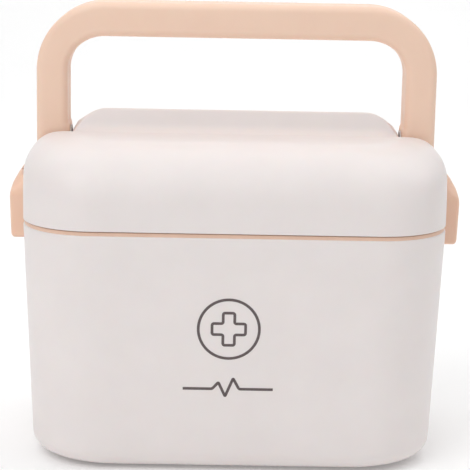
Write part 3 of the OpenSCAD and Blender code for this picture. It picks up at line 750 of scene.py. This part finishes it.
def handle_frames():
    """Stations along the handle, left arm's end first.

    Each is (origin, outward, depth direction, reach inward, reach outward).
    """
    arm_x = ARM_OUT - GRIP_T / 2
    bar_z = HANDLE_TOP - GRIP_T / 2
    corner = GRIP_CORNER - GRIP_T / 2
    arm_inner = ARM_T - GRIP_T / 2
    bar_inner = BAR_T - GRIP_T / 2
    half = GRIP_T / 2
    frames = []
    for i in range(17):
        turn = math.radians(90 - 90 * i / 16)
        frames.append(((-arm_x, 0, PIVOT_Z), (-1, 0, 0), (0, math.cos(turn), -math.sin(turn)), half, half))
    for i in range(7):
        inner = half + (arm_inner - half) * smooth_share(i / 6)
        z = PIVOT_Z + HUB_R + i * HUB_STEP / 6
        frames.append(((-arm_x, 0, z), (-1, 0, 0), (0, 1, 0), inner, half))
    z = (PIVOT_Z + bar_z - corner) / 2
    frames.append(((-arm_x, 0, z), (-1, 0, 0), (0, 1, 0), arm_inner, half))
    for i in range(25):
        turn = math.radians(90 * i / 24)
        origin = (-arm_x + corner - corner * math.cos(turn), 0, bar_z - corner + corner * math.sin(turn))
        inner = arm_inner + (bar_inner - arm_inner) * smooth_share(i / 24)
        frames.append((origin, (-math.cos(turn), 0, math.sin(turn)), (0, 1, 0), inner, half))
    right = [((-o[0], o[1], o[2]), (-a[0], a[1], a[2]), *rest) for o, a, *rest in reversed(frames)]
    return frames + right


def handle_half(name, side, node, material):
    """One shell of the handle; side is -1 for the front and 1 for the rear."""
    points = []
    frames = handle_frames()
    for origin, across, out, inner, outer in frames:
        outward = Vector((out[0], side * out[1], out[2]))
        section = half_section(inner, outer)
        for u, v in section:
            points.append(Vector(origin) + Vector(across) * u + outward * v)
    faces = ring_faces(len(frames), len(section))
    if side < 0:
        faces = [f[::-1] for f in faces]
    piece = make_piece(name, [tuple(p) for p in points], faces, "handle", material, sharp=30)
    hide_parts(node)
    return piece


def screw_spots():
    """Places of the handle's five screws as (x, z)."""
    arm_x = ARM_OUT - GRIP_T / 2
    bar_z = HANDLE_TOP - GRIP_T / 2
    screw_x = arm_x - SCREW_IN
    bar = [(-screw_x, bar_z), (0, bar_z), (screw_x, bar_z)]
    return bar + [(-arm_x, PIVOT_Z + SCREW_UP), (arm_x, PIVOT_Z + SCREW_UP)]


def turned(name, profile, spots, segments=32):
    """Mesh object of one revolved profile of (radius, y) at every spot, as a cutter."""
    cutter = bmesh.new()
    for x, z in spots:
        rings = []
        for r, y in profile:
            ring = []
            for i in range(segments):
                a = 2 * math.pi * i / segments
                place = (x + r * math.cos(a), y, z + r * math.sin(a))
                ring.append(cutter.verts.new([c * MM for c in place]))
            rings.append(ring)
        for lower, upper in zip(rings, rings[1:]):
            for i in range(segments):
                j = (i + 1) % segments
                cutter.faces.new((lower[i], lower[j], upper[j], upper[i]))
        cutter.faces.new(rings[0][::-1])
        cutter.faces.new(rings[-1])
    bmesh.ops.recalc_face_normals(cutter, faces=cutter.faces)
    mesh = bpy.data.meshes.new(name)
    cutter.to_mesh(mesh)
    cutter.free()
    made = bpy.data.objects.new(name, mesh)
    bpy.context.scene.collection.objects.link(made)
    return made


def cut(piece, cutter):
    """Cuts the cutter out of the piece for good, and removes the cutter."""
    modifier = piece.modifiers.new("cut", "BOOLEAN")
    modifier.operation = "DIFFERENCE"
    modifier.solver = "EXACT"
    modifier.object = cutter
    ready = piece.evaluated_get(bpy.context.evaluated_depsgraph_get())
    mesh = bpy.data.meshes.new_from_object(ready)
    piece.modifiers.clear()
    piece.data = mesh
    bpy.data.objects.remove(cutter)
    mesh.set_sharp_from_angle(angle=math.radians(30))


def make_handle(material):
    """The handle's two shells, with seats for the screws cut into the rear one."""
    handle_half("handle_front_shell", -1, "handle_front", material)
    rear = handle_half("handle_rear_shell", 1, "handle_back", material)
    face = HANDLE_FRONT
    r = SCREW_SEAT_R
    lip = SCREW_LIP
    profile = [
        (r, face - SCREW_SEAT), (r, face - lip), (r + lip * 0.3, face - lip * 0.3),
        (r + lip, face), (r + lip, face + 1),
    ]
    cut(rear, turned("screw_seats", profile, screw_spots()))


# Latches

def latch_form(x, y, z):
    """Outer form of the right latch without its inner face."""
    rise = z - LID_Z
    top_x = LATCH_PIN_X + LATCH_PEAK
    drop = LATCH_UP - LATCH_BEND
    slant = plane(x, rise, (LATCH_OUT, LATCH_BEND), (drop, LATCH_OUT - top_x))
    lean = plane(x, rise, (LATCH_OUT, 0), (LATCH_DOWN - LATCH_EDGE_R, -LATCH_LEAN))
    outer = both(both(x - LATCH_OUT, lean, LATCH_LEAN_R), slant, LATCH_BEND_R)
    outer = both(outer, -LATCH_DOWN - rise, LATCH_EDGE_R)
    taper = plane(np.abs(y), rise, (LATCH_W / 2, LATCH_BEND), (drop, (LATCH_W - LATCH_TOP_W) / 2))
    side = both(np.abs(y) - LATCH_W / 2, taper, LATCH_TAPER_R)
    above_bend = np.clip((rise - LATCH_BEND + LATCH_GROW_UNDER) / (drop - LATCH_GROW_SHORT), 0, 1)
    round_r = LATCH_SIDE_R + (LATCH_TOP_SIDE_R - LATCH_SIDE_R) * smooth_share(above_bend)
    return both(outer, side, round_r)


def latch_top(x, z):
    """Top of the latch: a narrow flat, then low towards the lid."""
    rise = z - LID_Z
    top_x = LATCH_PIN_X + LATCH_PEAK
    shoulder = LATCH_UP - 0.6 * LATCH_PIN_DOWN
    flat_x = top_x - LATCH_TOP_T
    inward = plane(x, rise, (flat_x, LATCH_UP), (shoulder - LATCH_UP, flat_x - LATCH_IN))
    return both(rise - LATCH_UP, inward, LATCH_PEAK_R)


def latch_field(x, y, z):
    """The right latch: a shell open towards the box, with cheeks around its pin and a notch for the ear."""
    form = latch_form(x, y, z)
    whole = both(form, latch_top(x, z), LATCH_CROWN_R)
    whole = both(whole, LATCH_IN - x, LATCH_MOUTH_R)
    out = x - LATCH_PIN_X
    rise = z - LATCH_PIN_Z
    cheek = slab(np.abs(y), EAR_HALF, LATCH_PIN_HALF + LATCH_WALL)
    cheek = np.maximum(cheek, -CHEEK_DROP - rise)
    hollow = np.maximum(form + LATCH_WALL, latch_top(x, z) + LATCH_WALL)
    hollow = np.maximum(hollow, -cheek)
    body = without(whole, hollow, LATCH_CUT_R)
    notch_half = EAR_HALF + EAR_C
    notch = np.maximum(np.abs(y) - notch_half, np.maximum(out - EAR_R * 0.3, -EAR_DROP - 2 - rise))
    round_notch = np.maximum(rod(out, rise, EAR_R + EAR_C), np.abs(y) - notch_half)
    body = without(body, np.minimum(notch, round_notch), LATCH_CUT_R)
    bore = np.maximum(rod(out, rise, LATCH_PIN_R + 3 * FREE), np.abs(y) - LATCH_PIN_HALF - EAR_C)
    return np.maximum(body, -bore)


def make_latches(material):
    """The two latches."""
    low = (LATCH_IN - 1.5, -LATCH_W / 2 - 1.5, LID_Z - LATCH_DOWN - 1.5)
    high = (LATCH_OUT + 1.5, LATCH_W / 2 + 1.5, LID_Z + LATCH_UP + 1.5)
    right, left = field_pair(
        "latch_{}_moulding", latch_field, low, high, LATCH_STEP,
        ("latch_right", "latch_left"), material,
    )
    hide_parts("latch_right")
    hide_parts("latch_left")


# Print on the front: a generic plus in a ring over a pulse line

PRINT_X = -2.5
RING_Z = 88
RING_R = 17.5
PLUS_ARM = 9.6
PLUS_HALF_W = 3.3
PULSE_Z = 52
PULSE_HALF = 26
LINE_W = 1.6
PRINT_T = 0.08
PRINT_SUNK = 0.2
PLUS_ROUND = 1.2
PULSE_ROUND = 0.9


def front_point(u, z, lift):
    """Point on the drafted front wall at x u and height z, lifted off it."""
    return (u, -HALF_D + wall_lean(z) - lift, z)


def stroke(path, width, closed):
    """Left and right edge of a line along a path of (x, z) points."""
    path = np.array(path, float)
    if closed:
        before = np.roll(path, 1, 0)
        after = np.roll(path, -1, 0)
    else:
        before = np.vstack([path[:1], path[:-1]])
        after = np.vstack([path[1:], path[-1:]])
    along = after - before
    along /= np.linalg.norm(along, axis=1)[:, None]
    normal = np.stack([-along[:, 1], along[:, 0]], 1)
    return path + normal * width / 2, path - normal * width / 2


def rounded_path(corners, r, closed, steps=6):
    """Path through corners, each rounded by an arc that starts r away from it."""
    corners = [np.array(c, float) for c in corners]
    path = []
    n = len(corners)
    for i, corner in enumerate(corners):
        if not closed and i in (0, n - 1):
            path.append(corner)
            continue
        back = corners[i - 1] - corner
        ahead = corners[(i + 1) % n] - corner
        start = corner + back / np.linalg.norm(back) * r
        end = corner + ahead / np.linalg.norm(ahead) * r
        for k in range(steps + 1):
            t = k / steps
            path.append((1 - t) ** 2 * start + 2 * t * (1 - t) * corner + t * t * end)
    return path


def print_line(name, path, closed, material):
    """One printed line as a thin raised strip on the front wall."""
    left, right = stroke(path, LINE_W, closed)
    points = []
    faces = []
    for a, b in zip(left, right):
        points.append(front_point(a[0], a[1], PRINT_T))
        points.append(front_point(b[0], b[1], PRINT_T))
        points.append(front_point(b[0], b[1], -PRINT_SUNK))
        points.append(front_point(a[0], a[1], -PRINT_SUNK))
    n = len(left)
    for i in range(n if closed else n - 1):
        j = (i + 1) % n
        for k in range(4):
            m = (k + 1) % 4
            faces.append((4 * i + m, 4 * j + m, 4 * j + k, 4 * i + k))
    if not closed:
        faces.append((3, 2, 1, 0))
        faces.append(tuple(4 * (n - 1) + k for k in range(4)))
    make_piece(name, points, faces, "box", material, sharp=30)


def make_print(material):
    """The generic print: ring, plus sign and pulse line."""
    ring = []
    for i in range(72):
        a = 2 * math.pi * i / 72
        ring.append((PRINT_X + RING_R * math.cos(a), RING_Z + RING_R * math.sin(a)))
    print_line("print_ring", ring, True, material)
    a, w = PLUS_ARM, PLUS_HALF_W
    plus = [
        (w, a), (w, w), (a, w), (a, -w), (w, -w), (w, -a),
        (-w, -a), (-w, -w), (-a, -w), (-a, w), (-w, w), (-w, a),
    ]
    plus = [(PRINT_X + u, RING_Z + v) for u, v in plus]
    print_line("print_plus", rounded_path(plus, PLUS_ROUND, True), True, material)
    pulse = [(-PULSE_HALF, 0), (-9, 0), (-5.5, 4), (-1.5, -4.5), (3, 6.5), (6.5, 0), (PULSE_HALF, 0)]
    pulse = [(PRINT_X + u, PULSE_Z + v) for u, v in pulse]
    print_line("print_pulse", rounded_path(pulse, PULSE_ROUND, False), False, material)


# Materials

def srgb(r, g, b):
    """Linear colour from sRGB values of 0 to 255."""
    def linear(c):
        c /= 255
        return c / 12.92 if c <= 0.04045 else ((c + 0.055) / 1.055) ** 2.4
    return (linear(r), linear(g), linear(b), 1)


def material_base(name):
    """New node material with its tree, shader and coordinates."""
    material = bpy.data.materials.new(name)
    material.use_nodes = True
    tree = material.node_tree
    shader = tree.nodes["Principled BSDF"]
    coordinates = tree.nodes.new("ShaderNodeTexCoord")
    return material, tree, shader, coordinates


def noise(tree, coordinates, scale, detail=2.0, roughness=0.5):
    """Noise texture in the piece's own coordinates."""
    node = tree.nodes.new("ShaderNodeTexNoise")
    node.inputs["Scale"].default_value = scale
    node.inputs["Detail"].default_value = detail
    node.inputs["Roughness"].default_value = roughness
    tree.links.new(coordinates.outputs["Object"], node.inputs["Vector"])
    return node


def spread(tree, value, low, high, from_low=0.3, from_high=0.7):
    """Value mapped to a range."""
    node = tree.nodes.new("ShaderNodeMapRange")
    node.inputs["From Min"].default_value = from_low
    node.inputs["From Max"].default_value = from_high
    node.inputs["To Min"].default_value = low
    node.inputs["To Max"].default_value = high
    tree.links.new(value, node.inputs["Value"])
    return node.outputs["Result"]


def mix_colours(tree, share, first, second):
    """Colour between two, by a share from 0 to 1."""
    node = tree.nodes.new("ShaderNodeMix")
    node.data_type = "RGBA"
    tree.links.new(share, node.inputs["Factor"])
    node.inputs["A"].default_value = first
    node.inputs["B"].default_value = second
    return node.outputs["Result"]


def bump(tree, height, distance, strength, below=None):
    """Surface normal raised by a height, over another bump where one is given."""
    node = tree.nodes.new("ShaderNodeBump")
    node.inputs["Distance"].default_value = distance
    node.inputs["Strength"].default_value = strength
    tree.links.new(height, node.inputs["Height"])
    if below is not None:
        tree.links.new(below, node.inputs["Normal"])
    return node.outputs["Normal"]


def vary(tree, shader, share, light, dark, low, high):
    """Colour and roughness that both follow one noise."""
    colour = mix_colours(tree, spread(tree, share, 0, 1), light, dark)
    tree.links.new(colour, shader.inputs["Base Color"])
    tree.links.new(spread(tree, share, low, high), shader.inputs["Roughness"])


def moulded_plastic(name, light, dark, roughness, grain):
    """Satin polypropylene: fine spark-eroded grain, faint flow mottling and uneven gloss."""
    material, tree, shader, coordinates = material_base(name)
    mottle = noise(tree, coordinates, 38, 4, 0.55)
    colour = mix_colours(tree, spread(tree, mottle.outputs["Fac"], 0, 1), light, dark)
    tree.links.new(colour, shader.inputs["Base Color"])
    gloss = noise(tree, coordinates, 90, 3)
    uneven = spread(tree, gloss.outputs["Fac"], roughness - 0.05, roughness + 0.06)
    tree.links.new(uneven, shader.inputs["Roughness"])
    sink = noise(tree, coordinates, 22, 1)
    soft = bump(tree, sink.outputs["Fac"], 0.0004, 0.12)
    texture = noise(tree, coordinates, 1500, 2, 0.6)
    tree.links.new(bump(tree, texture.outputs["Fac"], 0.00003, grain, soft), shader.inputs["Normal"])
    shader.inputs["IOR"].default_value = 1.49
    shader.inputs["Specular IOR Level"].default_value = 0.42
    shader.inputs["Subsurface Weight"].default_value = 0.08
    shader.inputs["Subsurface Scale"].default_value = 0.004
    return material


def silicone(name, light, dark):
    """Soft matte rubber with a dry bloom."""
    material, tree, shader, coordinates = material_base(name)
    bloom = noise(tree, coordinates, 160, 4, 0.6)
    vary(tree, shader, bloom.outputs["Fac"], light, dark, 0.58, 0.74)
    grit = noise(tree, coordinates, 2200, 2)
    tree.links.new(bump(tree, grit.outputs["Fac"], 0.00003, 0.25), shader.inputs["Normal"])
    shader.inputs["IOR"].default_value = 1.42
    shader.inputs["Sheen Weight"].default_value = 0.15
    shader.inputs["Sheen Roughness"].default_value = 0.5
    return material


def zinc_steel(name):
    """Zinc-plated steel with drawn streaks."""
    material, tree, shader, coordinates = material_base(name)
    stretch = tree.nodes.new("ShaderNodeMapping")
    stretch.inputs["Scale"].default_value = (0.08, 1, 1)
    tree.links.new(coordinates.outputs["Object"], stretch.inputs["Vector"])
    streak = tree.nodes.new("ShaderNodeTexNoise")
    streak.inputs["Scale"].default_value = 2600
    streak.inputs["Detail"].default_value = 3
    tree.links.new(stretch.outputs["Vector"], streak.inputs["Vector"])
    vary(tree, shader, streak.outputs["Fac"], srgb(224, 224, 224), srgb(200, 200, 202), 0.34, 0.5)
    tree.links.new(bump(tree, streak.outputs["Fac"], 0.00002, 0.3), shader.inputs["Normal"])
    shader.inputs["Metallic"].default_value = 1
    return material


def ink(name):
    """Pad-printed ink: thin, slightly uneven cover."""
    material, tree, shader, coordinates = material_base(name)
    cover = noise(tree, coordinates, 700, 3)
    vary(tree, shader, cover.outputs["Fac"], srgb(92, 80, 80), srgb(104, 92, 92), 0.42, 0.55)
    tree.links.new(bump(tree, cover.outputs["Fac"], 0.00002, 0.2), shader.inputs["Normal"])
    return material


def dress_cad_nodes(finishes):
    """Gives every CAD node that stays the finish of its material slot."""
    for row in frame["record"]["subparts"]:
        node = frame["nodes"].get(row["node"])
        if node is None:
            continue
        mesh = node.data
        mesh.materials.clear()
        mesh.materials.append(finishes[row["material_slot"]])


# Stage, light and camera, in metres

STAGE_HALF = 6
STAGE_BACK = 1.2
STAGE_BEND = 0.8
STAGE_TOP = 5
WORLD_LIGHT = 0.36
FLOOR_GLOW = 0.1
BOX_MIDDLE = (0, 0, 0.13)
BACKDROP = (0, 1.7, 0.2)
LIGHTS = (
    ("key_light", (-0.9, -1.1, 1.6), BOX_MIDDLE, (1.2, 1.2), 12),
    ("top_light", (0, -0.2, 1.9), BOX_MIDDLE, (1.8, 1.4), 8),
    ("front_light", (-0.1, -1.5, 1.5), BOX_MIDDLE, (1.0, 1.0), 2.6),
    ("right_light", (1.4, 0, 1.5), BOX_MIDDLE, (1.0, 1.0), 4.7),
    ("backdrop_light", (0, 0.7, 1.6), BACKDROP, (2.4, 0.8), 10),
)


def make_stage():
    """Seamless pale floor that curves up behind the box."""
    profile = [(-STAGE_HALF, 0), (STAGE_BACK, 0)]
    for i in range(1, 13):
        a = math.radians(90 * i / 12)
        profile.append((STAGE_BACK + STAGE_BEND * math.sin(a), STAGE_BEND * (1 - math.cos(a))))
    profile.append((STAGE_BACK + STAGE_BEND, STAGE_TOP))
    points = []
    for y, z in profile:
        points.append((-STAGE_HALF, y, z))
        points.append((STAGE_HALF, y, z))
    faces = [(2 * i, 2 * i + 1, 2 * i + 3, 2 * i + 2) for i in range(len(profile) - 1)]
    mesh = bpy.data.meshes.new("stage_floor")
    mesh.from_pydata(points, [], faces)
    mesh.shade_smooth()
    floor = bpy.data.objects.new("stage_floor", mesh)
    bpy.context.scene.collection.objects.link(floor)
    material, tree, shader, coordinates = material_base("stage_paper")
    grain = noise(tree, coordinates, 4, 3)
    light, dark = (0.93, 0.93, 0.93, 1), (0.91, 0.91, 0.91, 1)
    colour = mix_colours(tree, spread(tree, grain.outputs["Fac"], 0, 1), light, dark)
    tree.links.new(colour, shader.inputs["Base Color"])
    shader.inputs["Roughness"].default_value = 0.9
    shader.inputs["Emission Color"].default_value = (1, 1, 1, 1)
    shader.inputs["Emission Strength"].default_value = FLOOR_GLOW
    mesh.materials.append(material)


def area_light(name, place, aim, size, power):
    """Soft rectangular light at a place, facing its aim."""
    data = bpy.data.lights.new(name, "AREA")
    data.shape = "RECTANGLE"
    data.size, data.size_y = size
    data.energy = power
    light = bpy.data.objects.new(name, data)
    light.location = place
    light.rotation_mode = "QUATERNION"
    light.rotation_quaternion = (Vector(aim) - Vector(place)).to_track_quat("-Z", "Y")
    bpy.context.scene.collection.objects.link(light)


def make_light():
    """White world light and the soft lights around the box."""
    world = bpy.data.worlds.new("studio")
    bpy.context.scene.world = world
    world.use_nodes = True
    background = world.node_tree.nodes["Background"]
    background.inputs["Color"].default_value = (1, 1, 1, 1)
    background.inputs["Strength"].default_value = WORLD_LIGHT
    bpy.context.scene.view_settings.view_transform = "Standard"
    for row in LIGHTS:
        area_light(*row)


def make_camera():
    """Camera in front of the box and a little above, at the photograph's angle and roll."""
    data = bpy.data.cameras.new("camera")
    data.sensor_width = 36
    data.lens = LENS
    data.clip_start = 0.01
    data.clip_end = 50
    camera = bpy.data.objects.new("camera", data)
    rise = math.radians(CAMERA_ELEVATION)
    turn = math.radians(CAMERA_TURN)
    aim = Vector(AIM) * MM
    back = Vector((math.sin(turn) * math.cos(rise), -math.cos(turn) * math.cos(rise), math.sin(rise)))
    camera.location = aim + back * CAMERA_DISTANCE * MM
    camera.rotation_mode = "QUATERNION"
    upright = (-back).to_track_quat("-Z", "Y")
    roll = Matrix.Rotation(math.radians(CAMERA_ROLL), 4, "Z").to_quaternion()
    camera.rotation_quaternion = upright @ roll
    bpy.context.scene.collection.objects.link(camera)
    bpy.context.scene.camera = camera


make_camera()
make_light()
make_stage()

white_plastic = moulded_plastic(
    "white_polypropylene", srgb(241, 233, 231), srgb(238, 230, 228), 0.4, 0.35)
peach_plastic = moulded_plastic(
    "peach_polypropylene", srgb(249, 216, 194), srgb(246, 212, 190), 0.42, 0.35)
# Darker copy of the peach plastic for the latches: painted shade, standing in for the shade that falls on
# them
shaded_peach_copy = moulded_plastic(
    "peach_polypropylene_painted_shade", srgb(244, 205, 181), srgb(241, 201, 177), 0.4, 0.35)
peach_rubber = silicone("peach_silicone", srgb(238, 202, 180), srgb(232, 196, 174))
foot_rubber = silicone("grey_rubber", srgb(92, 88, 86), srgb(80, 76, 75))
steel = zinc_steel("zinc_steel")
print_ink = ink("grey_ink")

dress_cad_nodes({
    "white_plastic": white_plastic,
    "peach_plastic": peach_plastic,
    "peach_rubber": peach_rubber,
    "foot_rubber": foot_rubber,
    "steel": steel,
})
make_body(white_plastic)
make_seal(peach_rubber)
make_keepers(white_plastic)
make_guides(white_plastic)
make_lid(white_plastic)
make_knuckles(white_plastic)
make_ears(white_plastic)
make_handle(peach_plastic)
# The latches get the darker copy of the peach plastic, which is painted shade
make_latches(shaded_peach_copy)
make_print(print_ink)
